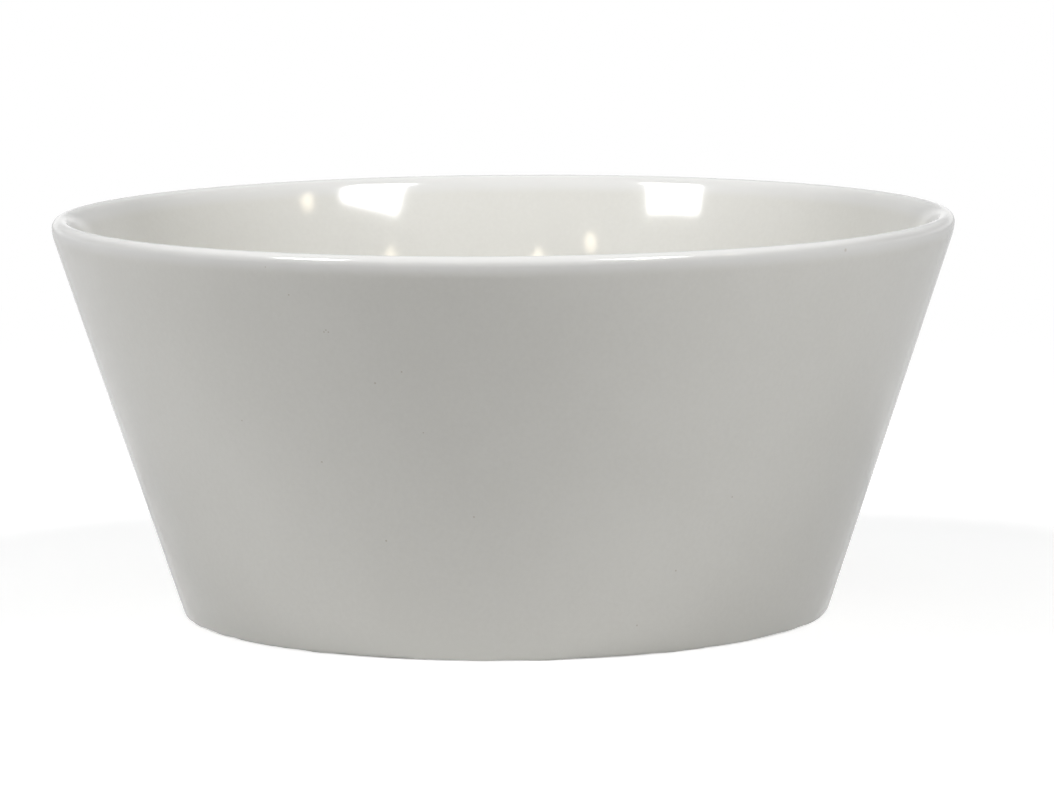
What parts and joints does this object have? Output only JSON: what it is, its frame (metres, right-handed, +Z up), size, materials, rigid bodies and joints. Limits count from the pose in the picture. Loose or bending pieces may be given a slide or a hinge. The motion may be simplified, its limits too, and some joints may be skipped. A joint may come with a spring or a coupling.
{
  "type": "latte bowl",
  "caption": "Round conical bowl of white glazed porcelain with a straight flaring wall, a soft rounded rim and a bare standing ring, for milky coffee, soup or cereal.",
  "frame": {"origin": "centre of the standing ring, on the plane of the table", "axes": "+Z up along the bowl's axis, towards the rim; the bowl is round, so X and Y are free"},
  "size_m": [0.14, 0.14, 0.062],
  "materials": {
    "porcelain": "bare fired porcelain, matt and slightly rough",
    "glaze": "smooth glossy white glaze"
  },
  "bodies": {
    "root": {"porcelain_body": "porcelain", "glaze_coat": "glaze", "underside_glaze": "glaze"}
  },
  "joints": []
}
